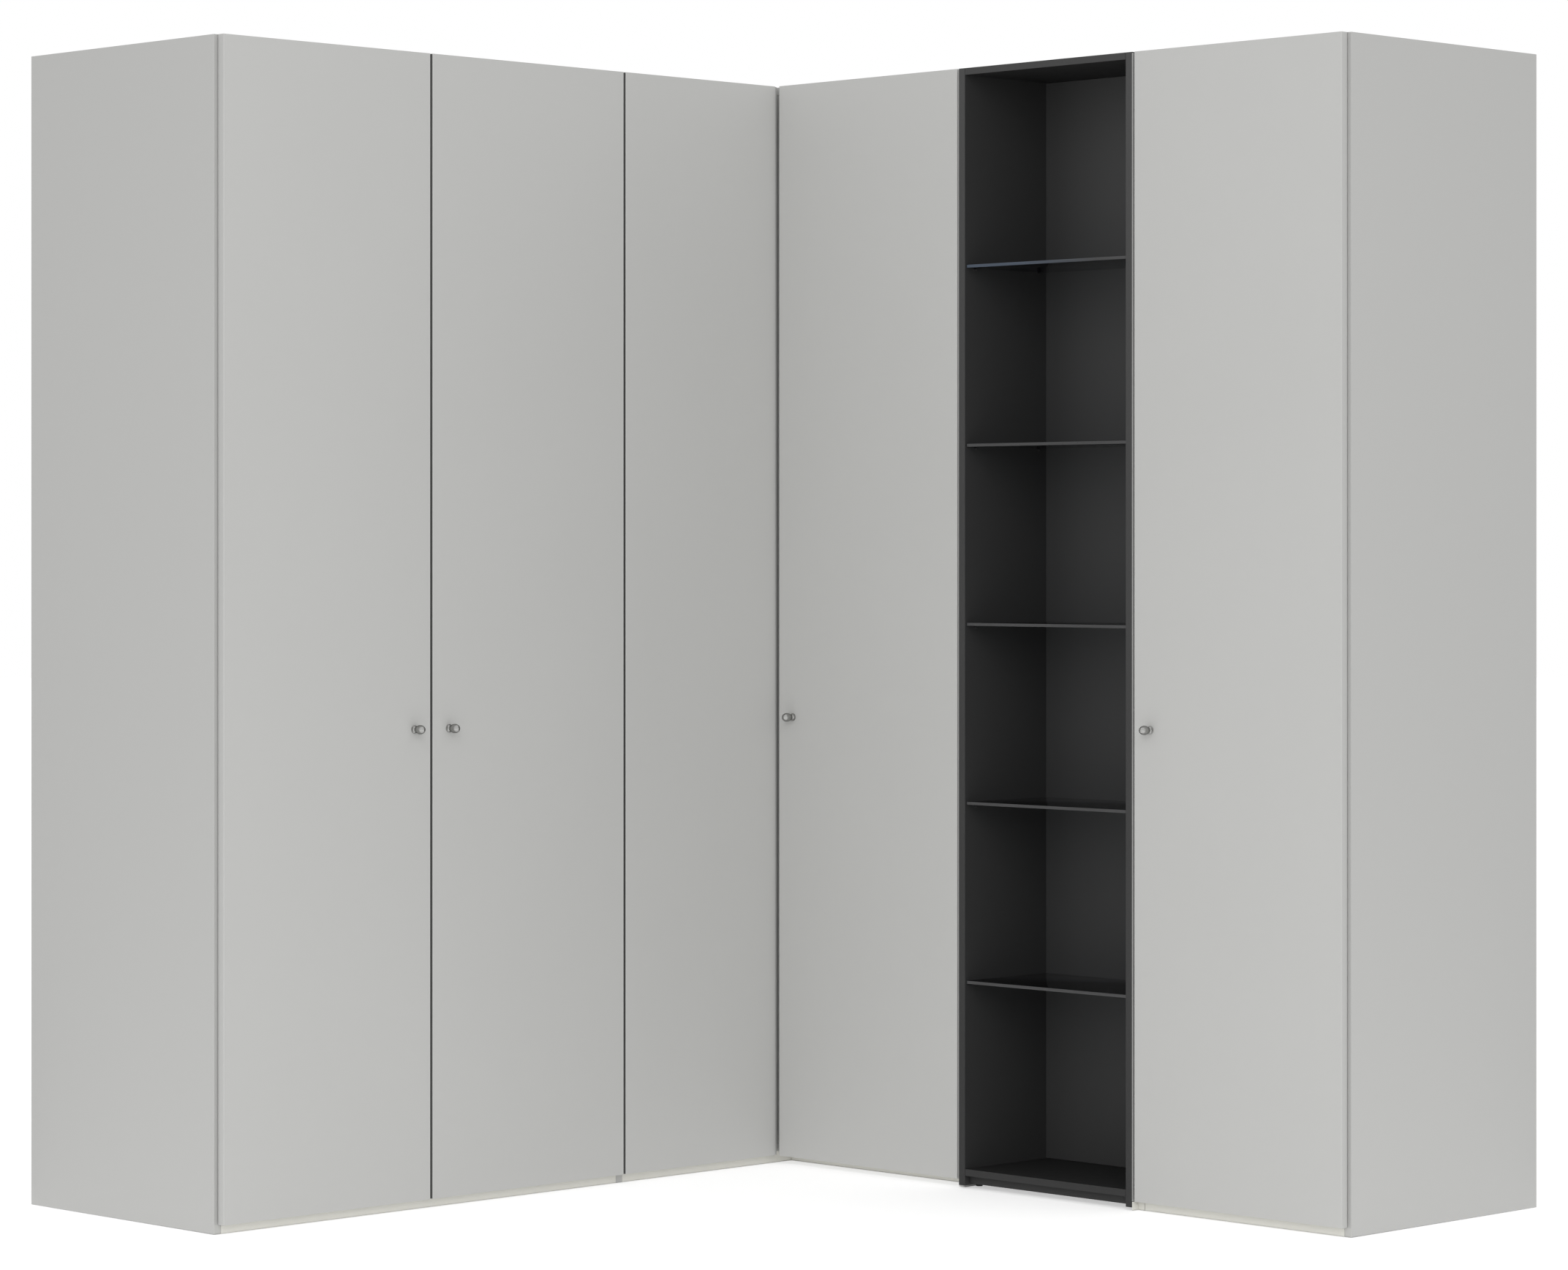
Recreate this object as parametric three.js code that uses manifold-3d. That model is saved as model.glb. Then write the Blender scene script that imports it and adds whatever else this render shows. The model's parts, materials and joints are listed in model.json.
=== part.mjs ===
// Corner wardrobe: a left wing with two doors and a fixed corner front, and a right wing with a
// corner door, an open shelf unit with glass shelves, and a one-door unit.
// Millimetres, +Z up, origin on the floor under the middle of the L.

import * as THREE from 'three';
import { mergeVertices } from 'three/addons/utils/BufferGeometryUtils.js';
import Module from 'manifold-3d';

const wasm = await Module();
wasm.setup();

// Whole wardrobe
const wardrobeHeight = 2160;
const carcassDepth = 555;
const leftWingFront = 1423;
const rightWingFront = 1465;
const jointGap = 0.3;
const overrun = 1;

// Carcass boards
const boardThickness = 16;
const boardEdgeRadius = 1;
const bottomBoardHeight = 23;
const cornerPlinthRecess = 43;
const backInset = 12;
const backThickness = 3;
const grooveDepth = 5;

// Unit widths, outside to outside
const leftUnitWidth = 1001;
const shelfUnitWidth = 442;
const rightUnitWidth = 503.5;

// Fronts
const doorThickness = 16;
const doorStandOff = 2;
const doorFloorGap = 17.5;
const doorEdgeRadius = 1.5;
const doorGap = 5;
const outerReveal = 8;
const sharedSideCover = 4;
const fixedFrontSetback = 1;
const cornerGap = 8.5;

// Corner post behind the fixed front
const postLegBehindFront = 60;
const postLegBehindDoor = 45;

// Hat shelves and clothes rails
const hatSpaceHeight = 343;
const hatShelfSetback = 20;
const railDrop = 55;
const railHeight = 30;
const railWidth = 15;
const railWall = 1.2;
const socketRim = 3;
const socketLength = 14;
const cornerRailLength = 720;
const hangerWidth = 24;

// Levelling foot under the back corner
const footRadius = 25;
const footStemRadius = 9;
const footPadThickness = 7;
const footInset = 90;

// Shelf pins
const pinRadius = 2.5;
const pinReach = 6;
const pinFrontInset = 28;
const pinBackInset = 24;

// Open shelf unit
const shelfUnitFloorGap = 6;
const shelfUnitBoard = 13;
const shelfUnitBottomHeight = 25;
const shelfUnitPlinthRecess = 14;
const shelfUnitPlinthGap = 9;
const shelfUnitBackDepth = 234;
const shelfUnitBackThickness = 8;
const glideRadius = 6.5;
const glideInset = 50;
const glassThickness = 6;
const glassFrontSetback = 3;
const glassSideGap = 0.7;
const glassCornerRadius = 3;
const glassCount = 5;
const lowestGlassSpace = 357;
const highestGlassSpace = 366;

// Knobs
const knobHeight = 897;
const knobEdgeInset = 40;
const knobBaseRadius = 7.5;
const knobBaseThickness = 2.5;
const knobNeckRadius = 3.8;
const knobNeckLength = 3.5;
const knobHeadRadius = 8.5;
const knobHeadThickness = 22;

// Concealed hinges
const hingeEndInset = 110;
const hingesPerDoor = 3;
const cupRadius = 15.5;
const cupDepth = 11;
const cupEdgeInset = 22.5;
const cupFlangeRadius = 19.5;
const cupFlangeThickness = 1.5;
const cupEarSpacing = 45;
const cupEarRadius = 6;
const armWidth = 15;
const armLength = 62;
const armThickness = 10;
const armLift = 2.2;
const armNeckReach = 17;
const plateHeight = 52;
const plateWidth = 11;
const plateSetback = 37;
const screwRadius = 3.8;
const screwHeadThickness = 1.8;

// Round pieces are cut into this many sides
const fineSides = 24;
const coarseSides = 10;
const curveSteps = 4;
const edgeSteps = 2;

// Places worked out from the sizes
const doorFrontOffset = doorStandOff + doorThickness;
const leftWingLength = leftWingFront + carcassDepth;
const rightWingLength = rightWingFront + carcassDepth;
const interiorBack = carcassDepth - backInset - backThickness - jointGap;
const interiorFloor = bottomBoardHeight + boardThickness;
const interiorCeiling = wardrobeHeight - boardThickness;
const hatShelfHeight = interiorCeiling - hatSpaceHeight - boardThickness;
const railCentreHeight = hatShelfHeight - railDrop;
const cornerUnitEnd = rightWingLength - rightUnitWidth - shelfUnitWidth;
const shelfUnitEnd = cornerUnitEnd + shelfUnitWidth;

const lacquer = { color: 0xc0c0be, roughness: 0.5, metalness: 0 };
const carcassWhite = { color: 0xc6c5bf, roughness: 0.6, metalness: 0 };
const graphite = { color: 0x3c3c3c, roughness: 0.55, metalness: 0 };
const smokedGlass = { color: 0x2c3034, roughness: 0.1, metalness: 0 };
const satinMetal = { color: 0xa9a9a6, roughness: 0.35, metalness: 0.8 };
const plastic = { color: 0x2a2a2a, roughness: 0.6, metalness: 0 };
const steel = { color: 0xb4b6b8, roughness: 0.3, metalness: 1 };

function addMesh(group, name, geometry, finish) {
  const mesh = new THREE.Mesh(geometry, new THREE.MeshStandardMaterial(finish));
  mesh.name = name;
  group.add(mesh);
  return mesh;
}

function toSolid(geometry) {
  const bare = geometry.clone();
  bare.deleteAttribute('normal');
  bare.deleteAttribute('uv');
  const merged = mergeVertices(bare);
  const vertProperties = new Float32Array(merged.attributes.position.array);
  const triVerts = new Uint32Array(merged.index.array);
  return new wasm.Manifold(new wasm.Mesh({ numProp: 3, vertProperties, triVerts }));
}

function toGeometry(solid) {
  const mesh = solid.getMesh();
  const geometry = new THREE.BufferGeometry();
  geometry.setAttribute('position', new THREE.BufferAttribute(mesh.vertProperties, 3));
  geometry.setIndex(new THREE.BufferAttribute(mesh.triVerts, 1));
  geometry.computeVertexNormals();
  return geometry;
}

function addAll(solids) {
  return solids.reduce((whole, solid) => whole.add(solid));
}

function extrudeUp(shape, bottom, top, curveSegments = edgeSteps) {
  const geometry = new THREE.ExtrudeGeometry(shape, {
    depth: top - bottom,
    bevelEnabled: false,
    curveSegments,
  });
  return geometry.translate(0, 0, bottom);
}

// Draws in the y, z plane and runs along x
function extrudeAcross(shape, start, end) {
  const turn = new THREE.Matrix4().set(0, 0, 1, 0, 1, 0, 0, 0, 0, 1, 0, 0, 0, 0, 0, 1);
  const geometry = new THREE.ExtrudeGeometry(shape, {
    depth: end - start,
    bevelEnabled: false,
    curveSegments: curveSteps,
  });
  return geometry.applyMatrix4(turn).translate(start, 0, 0);
}

function outline(points) {
  return new THREE.Shape(points.map(([x, y]) => new THREE.Vector2(x, y)));
}

// Plan of a board: rounded at its two front corners, with a groove for the back in a side if asked
function boardPlan(x0, x1, front, back, radius, grooves = {}) {
  const shape = new THREE.Shape();
  shape.moveTo(x0 + radius, front);
  shape.lineTo(x1 - radius, front);
  shape.absarc(x1 - radius, front + radius, radius, -Math.PI / 2, 0);
  if (grooves.right) {
    shape.lineTo(x1, grooves.start);
    shape.lineTo(x1 - grooves.depth, grooves.start);
    shape.lineTo(x1 - grooves.depth, grooves.end);
    shape.lineTo(x1, grooves.end);
  }
  shape.lineTo(x1, back);
  shape.lineTo(x0, back);
  if (grooves.left) {
    shape.lineTo(x0, grooves.end);
    shape.lineTo(x0 + grooves.depth, grooves.end);
    shape.lineTo(x0 + grooves.depth, grooves.start);
    shape.lineTo(x0, grooves.start);
  }
  shape.absarc(x0 + radius, front + radius, radius, Math.PI, 1.5 * Math.PI);
  return shape;
}

function grooveAt(start, thickness, sides) {
  return { start: start - jointGap, end: start + thickness + jointGap, depth: grooveDepth, ...sides };
}

// Pins stick out of a side to the right (direction 1) or to the left (direction -1)
function pinSolid(face, direction, y, shelfUnderside) {
  const pin = new THREE.CylinderGeometry(pinRadius, pinRadius, pinReach + overrun, coarseSides);
  pin.rotateZ(Math.PI / 2);
  const middle = face + direction * (pinReach - overrun) / 2;
  return toSolid(pin.translate(middle, y, shelfUnderside - jointGap - pinRadius));
}

function pinRows(face, direction, front, back, undersides) {
  const places = [front + pinFrontInset, back - pinBackInset];
  return undersides.flatMap((z) => places.map((y) => pinSolid(face, direction, y, z)));
}

function withSolids(geometry, solids) {
  return toGeometry(addAll([toSolid(geometry), ...solids]));
}

// Carcass sides of the units with doors
const backGroove = carcassDepth - backInset - backThickness;

function carcassSide(group, name, x0, openings) {
  const x1 = x0 + boardThickness;
  const grooves = grooveAt(backGroove, backThickness, openings);
  const plan = boardPlan(x0, x1, 0, carcassDepth, boardEdgeRadius, grooves);
  addMesh(group, name, extrudeUp(plan, 0, wardrobeHeight), carcassWhite);
}

function railPlan(height, width, wall) {
  const stadium = (target, grow) => {
    const radius = width / 2 + grow;
    const straight = (height - width) / 2;
    target.absarc(0, straight, radius, 0, Math.PI);
    target.absarc(0, -straight, radius, Math.PI, 2 * Math.PI);
    return target;
  };
  const shape = stadium(new THREE.Shape(), 0);
  if (wall) {
    shape.holes.push(stadium(new THREE.Path(), -wall));
  }
  return { shape, grown: (grow) => stadium(new THREE.Shape(), grow) };
}

// An oval tube with a socket round one or both of its ends
function clothesRail(x0, x1, sockets) {
  const { shape, grown } = railPlan(railHeight, railWidth, railWall);
  const bore = toSolid(extrudeAcross(grown(-railWall), x0 - overrun, x1 + overrun));
  const pieces = [toSolid(extrudeAcross(shape, x0, x1))];
  if (sockets.left) {
    pieces.push(toSolid(extrudeAcross(grown(socketRim), x0, x0 + socketLength)).subtract(bore));
  }
  if (sockets.right) {
    pieces.push(toSolid(extrudeAcross(grown(socketRim), x1 - socketLength, x1)).subtract(bore));
  }
  return addAll(pieces);
}

function placeRail(solid, depth) {
  return toGeometry(solid).translate(0, depth, railCentreHeight);
}

// Boards, back, shelf and rail between two inner faces of a unit with doors
function fillUnit(group, prefix, innerLeft, innerRight) {
  const x0 = innerLeft + jointGap;
  const x1 = innerRight - jointGap;
  const plan = boardPlan(x0, x1, 0, interiorBack, boardEdgeRadius);
  const shelfPlan = boardPlan(x0, x1, hatShelfSetback, interiorBack, boardEdgeRadius);
  const plinthPlan = boardPlan(x0, x1, 0, boardThickness, boardEdgeRadius);
  const reach = grooveDepth - jointGap;
  const backPlan = outline([
    [innerLeft - reach, backGroove],
    [innerRight + reach, backGroove],
    [innerRight + reach, backGroove + backThickness],
    [innerLeft - reach, backGroove + backThickness],
  ]);
  const shelfTop = hatShelfHeight + boardThickness;
  addMesh(group, `${prefix}_top`, extrudeUp(plan, interiorCeiling, wardrobeHeight), carcassWhite);
  addMesh(group, `${prefix}_bottom`, extrudeUp(plan, bottomBoardHeight, interiorFloor), carcassWhite);
  addMesh(group, `${prefix}_plinth`, extrudeUp(plinthPlan, 0, bottomBoardHeight - jointGap), carcassWhite);
  addMesh(group, `${prefix}_back`, extrudeUp(backPlan, bottomBoardHeight, wardrobeHeight), carcassWhite);
  addMesh(group, `${prefix}_hat_shelf`, extrudeUp(shelfPlan, hatShelfHeight, shelfTop), carcassWhite);
  const rail = clothesRail(x0, x1, { left: true, right: true });
  addMesh(group, `${prefix}_rail`, placeRail(rail, carcassDepth / 2), steel);
}

// Evenly spaced heights from the lowest to the highest
function spread(lowest, highest, count) {
  const step = (highest - lowest) / (count - 1);
  return Array.from({ length: count }, (unused, index) => lowest + index * step);
}

function hingeHeights() {
  return spread(doorFloorGap + hingeEndInset, wardrobeHeight - hingeEndInset, hingesPerDoor);
}

function cylinderIn(radius, length, x, yMiddle, z) {
  return toSolid(new THREE.CylinderGeometry(radius, radius, length, fineSides).translate(x, yMiddle, z));
}

// Flange of a hinge cup: a disc with an ear above and below for its screws
function cupFlange(x, z) {
  const back = -doorStandOff;
  const length = cupFlangeThickness + overrun;
  const middle = back + cupFlangeThickness - length / 2;
  const ears = [-1, 1].map((way) => cylinderIn(cupEarRadius, length, x, middle, z + way * cupEarSpacing / 2));
  return addAll([cylinderIn(cupFlangeRadius, length, x, middle, z), ...ears]);
}

function cupPocket(x, z) {
  const length = cupDepth + cupFlangeThickness + overrun;
  const middle = -doorStandOff + cupFlangeThickness + overrun - length / 2;
  return cylinderIn(cupRadius, length, x, middle, z);
}

function frontPanel(x0, x1) {
  const plan = boardPlan(x0, x1, -doorFrontOffset, -doorStandOff, doorEdgeRadius);
  return extrudeUp(plan, doorFloorGap, wardrobeHeight);
}

// A hinge side of -1 is the left edge of the door and 1 is its right edge
function addDoor(group, name, x0, x1, hingeSide) {
  const hingeEdge = hingeSide < 0 ? x0 : x1;
  const cupX = hingeEdge - hingeSide * cupEdgeInset;
  let door = toSolid(frontPanel(x0, x1));
  for (const z of hingeHeights()) {
    door = door.add(cupFlange(cupX, z)).subtract(cupPocket(cupX, z));
  }
  addMesh(group, name, toGeometry(door), lacquer);
  const knobX = hingeSide < 0 ? x1 - knobEdgeInset : x0 + knobEdgeInset;
  const knob = addMesh(group, `${name}_knob`, knobGeometry(), satinMetal);
  knob.position.set(knobX, -doorFrontOffset - jointGap, knobHeight);
}

// A turned knob: flat base, short neck and egg-shaped head, its axis along -y
function knobGeometry() {
  const headStart = knobBaseThickness + knobNeckLength;
  const headWidest = headStart + knobHeadThickness / 2;
  const headEnd = headStart + knobHeadThickness;
  const profile = new THREE.Path();
  profile.moveTo(0, -headEnd);
  profile.quadraticCurveTo(knobHeadRadius, -headEnd, knobHeadRadius, -headWidest);
  profile.quadraticCurveTo(knobHeadRadius, -headStart, knobNeckRadius, -headStart);
  profile.quadraticCurveTo(knobNeckRadius, -knobBaseThickness, knobBaseRadius, -knobBaseThickness);
  profile.lineTo(knobBaseRadius, 0);
  profile.lineTo(0, 0);
  return new THREE.LatheGeometry(profile.getPoints(curveSteps), fineSides);
}

// Hinge arm: bent body on a winged plate, screwed to the inner face of a side.
// A direction of 1 points right, away from the face, and -1 points left.
function hingeArm(face, direction, z) {
  const reach = (distance) => face + direction * distance;
  const armTop = armLift + armThickness;
  const tip = -doorStandOff + cupFlangeThickness + jointGap;
  const body = new THREE.Shape();
  body.moveTo(reach(armLift), armLength);
  body.lineTo(reach(armTop - armLift), armLength);
  body.lineTo(reach(armTop), armLength - armLift);
  body.lineTo(reach(armTop), plateSetback - plateWidth);
  body.quadraticCurveTo(reach(armTop), plateWidth, reach(armNeckReach), plateWidth / 2);
  body.lineTo(reach(armNeckReach), tip);
  body.lineTo(reach(armNeckReach - armThickness), tip);
  body.quadraticCurveTo(reach(armNeckReach - armThickness), plateWidth, reach(armLift), plateSetback / 2);
  const arm = extrudeUp(body, z - armWidth / 2, z + armWidth / 2, curveSteps);
  const plate = plateSolid(reach, z);
  const wings = [-1, 1].map((way) => (plateHeight / 2 - plateWidth / 2) * way);
  const plateScrews = wings.map((rise) => screwHead(reach, armLift, plateSetback, z + rise));
  const armScrews = [plateSetback, armLength - plateWidth / 2].map((y) => screwHead(reach, armTop, y, z));
  return toGeometry(addAll([toSolid(arm), plate, ...plateScrews, ...armScrews]));
}

function plateSolid(reach, z) {
  const radius = plateWidth / 2;
  const straight = plateHeight / 2 - radius;
  const wings = new THREE.Shape();
  wings.absarc(plateSetback, z + straight, radius, 0, Math.PI);
  wings.absarc(plateSetback, z - straight, radius, Math.PI, 2 * Math.PI);
  const ends = [reach(jointGap), reach(armLift + overrun / 2)].sort((a, b) => a - b);
  return toSolid(extrudeAcross(wings, ...ends));
}

function screwHead(reach, height, y, z) {
  const length = screwHeadThickness + overrun;
  const head = new THREE.CylinderGeometry(screwRadius, screwRadius, length, coarseSides).rotateZ(Math.PI / 2);
  return toSolid(head.translate(reach(height + screwHeadThickness - length / 2), y, z));
}

function addHingeArms(group, doorName, face, direction) {
  hingeHeights().forEach((z, index) => {
    addMesh(group, `${doorName}_hinge_${index + 1}`, hingeArm(face, direction, z), steel);
  });
}

// Left wing: x runs from its outer side to the corner, y runs from the carcass front to the wall
const leftWing = new THREE.Group();
leftWing.position.set(carcassDepth, -leftWingLength, 0);
leftWing.rotation.z = Math.PI / 2;

function buildLeftUnit() {
  const sharedSide = leftUnitWidth - boardThickness;
  carcassSide(leftWing, 'left_unit_outer_side', 0, { right: true });
  carcassSide(leftWing, 'left_unit_shared_side', sharedSide, { left: true, right: true });
  fillUnit(leftWing, 'left_unit', boardThickness, sharedSide);
  const lastEdge = sharedSide + sharedSideCover;
  const doorWidth = (lastEdge - outerReveal - doorGap) / 2;
  addDoor(leftWing, 'left_unit_door_1', outerReveal, outerReveal + doorWidth, -1);
  addDoor(leftWing, 'left_unit_door_2', lastEdge - doorWidth, lastEdge, 1);
  addHingeArms(leftWing, 'left_unit_door_1', boardThickness, 1);
  addHingeArms(leftWing, 'left_unit_door_2', sharedSide, -1);
}

function buildFixedFront() {
  const start = leftUnitWidth - boardThickness + sharedSideCover + doorGap;
  const end = leftWingFront - doorFrontOffset - fixedFrontSetback;
  addMesh(leftWing, 'corner_unit_fixed_front', frontPanel(start, end), lacquer);
}

// Right wing: x runs from the left wall to its outer side, y runs from the carcass front to the wall
const rightWing = new THREE.Group();
rightWing.position.set(0, -carcassDepth, 0);

const cornerSideFace = cornerUnitEnd - boardThickness;

// L-shaped plan of the corner unit's boards in the right wing's frame
function cornerBoardPlan(frontSetback) {
  const leftFront = carcassDepth - frontSetback;
  const backLine = carcassDepth - interiorBack;
  const leftEnd = carcassDepth - (leftWingLength - leftUnitWidth) + jointGap;
  return outline([
    [backLine, leftEnd],
    [leftFront, leftEnd],
    [leftFront, frontSetback],
    [cornerSideFace - jointGap, frontSetback],
    [cornerSideFace - jointGap, interiorBack],
    [backLine, interiorBack],
  ]);
}

function buildCornerBoards() {
  const plan = cornerBoardPlan(0);
  const shelfPlan = cornerBoardPlan(hatShelfSetback);
  const shelfTop = hatShelfHeight + boardThickness;
  addMesh(rightWing, 'corner_unit_top', extrudeUp(plan, interiorCeiling, wardrobeHeight), carcassWhite);
  addMesh(rightWing, 'corner_unit_bottom', extrudeUp(plan, bottomBoardHeight, interiorFloor), carcassWhite);
  addMesh(rightWing, 'corner_unit_hat_shelf', extrudeUp(shelfPlan, hatShelfHeight, shelfTop), carcassWhite);
  carcassSide(rightWing, 'corner_unit_side', cornerSideFace, { left: true });
}

function buildCornerBacks() {
  const reach = grooveDepth - jointGap;
  const leftEnd = carcassDepth - (leftWingLength - leftUnitWidth) - reach;
  const leftBack = outline([
    [backInset, leftEnd],
    [backInset + backThickness, leftEnd],
    [backInset + backThickness, carcassDepth - backInset],
    [backInset, carcassDepth - backInset],
  ]);
  const rightStart = backInset + backThickness + jointGap;
  const rightBack = outline([
    [rightStart, backGroove],
    [cornerSideFace + reach, backGroove],
    [cornerSideFace + reach, backGroove + backThickness],
    [rightStart, backGroove + backThickness],
  ]);
  addMesh(rightWing, 'corner_unit_back_left', extrudeUp(leftBack, bottomBoardHeight, wardrobeHeight), carcassWhite);
  addMesh(rightWing, 'corner_unit_back_right', extrudeUp(rightBack, bottomBoardHeight, wardrobeHeight), carcassWhite);
}

function buildCornerPlinths() {
  const top = bottomBoardHeight - jointGap;
  const start = leftUnitWidth + jointGap;
  const end = leftWingFront + cornerPlinthRecess + boardThickness;
  const leftPlan = boardPlan(start, end, 0, boardThickness, boardEdgeRadius);
  addMesh(leftWing, 'corner_unit_plinth_left', extrudeUp(leftPlan, 0, top), carcassWhite);
  const rightPlan = boardPlan(
    carcassDepth + jointGap,
    cornerSideFace - jointGap,
    cornerPlinthRecess,
    cornerPlinthRecess + boardThickness,
    boardEdgeRadius,
  );
  addMesh(rightWing, 'corner_unit_plinth_right', extrudeUp(rightPlan, 0, top), carcassWhite);
}

// Two upright boards at the inner corner: one carries the fixed front, the other is the stop
// for the corner door
function buildCornerPost() {
  const frontFace = carcassDepth + doorStandOff - jointGap;
  const left = outline([
    [carcassDepth - boardThickness, -postLegBehindFront],
    [frontFace, -postLegBehindFront],
    [frontFace, boardThickness],
    [carcassDepth - boardThickness, boardThickness],
  ]);
  const right = outline([
    [frontFace + jointGap, 0],
    [carcassDepth + postLegBehindDoor, 0],
    [carcassDepth + postLegBehindDoor, boardThickness],
    [frontFace + jointGap, boardThickness],
  ]);
  const bottom = interiorFloor + jointGap;
  const top = interiorCeiling - jointGap;
  addMesh(rightWing, 'corner_unit_post_left', extrudeUp(left, bottom, top), carcassWhite);
  addMesh(rightWing, 'corner_unit_post_right', extrudeUp(right, bottom, top), carcassWhite);
}

// One rail from the unit's side towards the corner, its free end hung from the shelf
function buildCornerRail() {
  const end = cornerSideFace - jointGap;
  const start = end - cornerRailLength;
  const rail = clothesRail(start, end, { left: true, right: true });
  const hangerTop = railDrop - jointGap;
  const hanger = new THREE.BoxGeometry(hangerWidth, socketRim, hangerTop);
  const hangerDepth = -railWidth / 2 - socketRim / 2;
  hanger.translate(start + hangerWidth / 2, hangerDepth, hangerTop / 2);
  const plate = new THREE.BoxGeometry(hangerWidth, railWidth + 2 * socketRim, socketRim);
  plate.translate(start + hangerWidth / 2, 0, hangerTop - socketRim / 2);
  const solid = addAll([rail, toSolid(hanger), toSolid(plate)]);
  addMesh(rightWing, 'corner_unit_rail', placeRail(solid, carcassDepth / 2), steel);
}

// A levelling foot carries the bottom board where no side reaches the floor
function buildCornerFoot() {
  const top = bottomBoardHeight - jointGap;
  const profile = new THREE.Path();
  profile.moveTo(0, 0);
  profile.lineTo(footRadius, 0);
  profile.quadraticCurveTo(footRadius, footPadThickness, footStemRadius, footPadThickness);
  profile.lineTo(footStemRadius, top);
  profile.lineTo(0, top);
  const foot = new THREE.LatheGeometry(profile.getPoints(edgeSteps), fineSides).rotateX(Math.PI / 2);
  addMesh(rightWing, 'corner_unit_foot', foot.translate(footInset, carcassDepth - footInset, 0), plastic);
}

function buildCornerUnit() {
  buildCornerBoards();
  buildCornerFoot();
  buildCornerBacks();
  buildCornerPlinths();
  buildCornerPost();
  buildCornerRail();
  buildFixedFront();
  const doorStart = carcassDepth + doorFrontOffset + cornerGap;
  addDoor(rightWing, 'corner_unit_door', doorStart, cornerUnitEnd - doorGap, 1);
  addHingeArms(rightWing, 'corner_unit_door', cornerSideFace, -1);
}

// Open shelf unit, its front edges in line with the faces of the doors
const shelfUnitFront = -doorFrontOffset;
const shelfUnitBack = shelfUnitFront + shelfUnitBackDepth;
const shelfInnerLeft = cornerUnitEnd + boardThickness;
const shelfInnerRight = shelfUnitEnd - boardThickness;
const shelfUnitFloor = shelfUnitBottomHeight + shelfUnitBoard;
const shelfUnitCeiling = wardrobeHeight - shelfUnitBoard;
const glassUndersides = spread(
  shelfUnitFloor + lowestGlassSpace,
  shelfUnitCeiling - highestGlassSpace - glassThickness,
  glassCount,
);

function shelfUnitSide(name, x0, openings) {
  const x1 = x0 + boardThickness;
  const grooves = grooveAt(shelfUnitBack, shelfUnitBackThickness, openings);
  const plan = boardPlan(x0, x1, shelfUnitFront, carcassDepth, boardEdgeRadius, grooves);
  const face = openings.right ? x1 : x0;
  const direction = openings.right ? 1 : -1;
  const pins = pinRows(face, direction, shelfUnitFront, shelfUnitBack, glassUndersides);
  const glides = [shelfUnitFront + glideInset, carcassDepth - glideInset].map((y) => glide(x0, y));
  const panel = extrudeUp(plan, shelfUnitFloorGap, wardrobeHeight);
  addMesh(rightWing, name, withSolids(panel, [...pins, ...glides]), graphite);
}

function glide(x0, y) {
  const length = shelfUnitFloorGap + overrun;
  const disc = new THREE.CylinderGeometry(glideRadius, glideRadius, length, coarseSides);
  disc.rotateX(Math.PI / 2);
  return toSolid(disc.translate(x0 + boardThickness / 2, y, length / 2));
}

function buildShelfUnit() {
  const x0 = shelfInnerLeft + jointGap;
  const x1 = shelfInnerRight - jointGap;
  const plan = boardPlan(x0, x1, shelfUnitFront, carcassDepth, boardEdgeRadius);
  const plinthFront = shelfUnitFront + shelfUnitPlinthRecess;
  const plinthPlan = boardPlan(x0, x1, plinthFront, plinthFront + boardThickness, boardEdgeRadius);
  shelfUnitSide('shelf_unit_left_side', cornerUnitEnd, { right: true });
  shelfUnitSide('shelf_unit_right_side', shelfInnerRight, { left: true });
  addMesh(rightWing, 'shelf_unit_top', extrudeUp(plan, shelfUnitCeiling, wardrobeHeight), graphite);
  addMesh(rightWing, 'shelf_unit_bottom', extrudeUp(plan, shelfUnitBottomHeight, shelfUnitFloor), graphite);
  const plinth = extrudeUp(plinthPlan, shelfUnitPlinthGap, shelfUnitBottomHeight - jointGap);
  addMesh(rightWing, 'shelf_unit_plinth', plinth, graphite);
  const reach = grooveDepth - jointGap;
  const backPlan = outline([
    [shelfInnerLeft - reach, shelfUnitBack],
    [shelfInnerRight + reach, shelfUnitBack],
    [shelfInnerRight + reach, shelfUnitBack + shelfUnitBackThickness],
    [shelfInnerLeft - reach, shelfUnitBack + shelfUnitBackThickness],
  ]);
  const back = extrudeUp(backPlan, shelfUnitFloor + jointGap, shelfUnitCeiling - jointGap);
  addMesh(rightWing, 'shelf_unit_back', back, graphite);
}

function buildGlassShelves() {
  const front = shelfUnitFront + glassFrontSetback;
  const x0 = shelfInnerLeft + glassSideGap;
  const x1 = shelfInnerRight - glassSideGap;
  const plan = boardPlan(x0, x1, front, shelfUnitBack - glassSideGap, glassCornerRadius);
  glassUndersides.forEach((z, index) => {
    const shelf = extrudeUp(plan, z, z + glassThickness);
    addMesh(rightWing, `glass_shelf_${index + 1}`, shelf, smokedGlass);
  });
}

function buildRightUnit() {
  const outerFace = rightWingLength - boardThickness;
  carcassSide(rightWing, 'right_unit_inner_side', shelfUnitEnd, { right: true });
  carcassSide(rightWing, 'right_unit_outer_side', outerFace, { left: true });
  fillUnit(rightWing, 'right_unit', shelfUnitEnd + boardThickness, outerFace);
  addDoor(rightWing, 'right_unit_door', shelfUnitEnd + doorGap, rightWingLength - outerReveal, 1);
  addHingeArms(rightWing, 'right_unit_door', outerFace, -1);
}

buildLeftUnit();
buildCornerUnit();
buildShelfUnit();
buildGlassShelves();
buildRightUnit();

const wardrobe = new THREE.Group();
wardrobe.add(leftWing, rightWing);
wardrobe.position.set(-rightWingLength / 2, leftWingLength / 2, 0);

export default wardrobe;
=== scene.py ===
import json
import math

import bmesh
import bpy
from mathutils import Matrix, Vector


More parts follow.
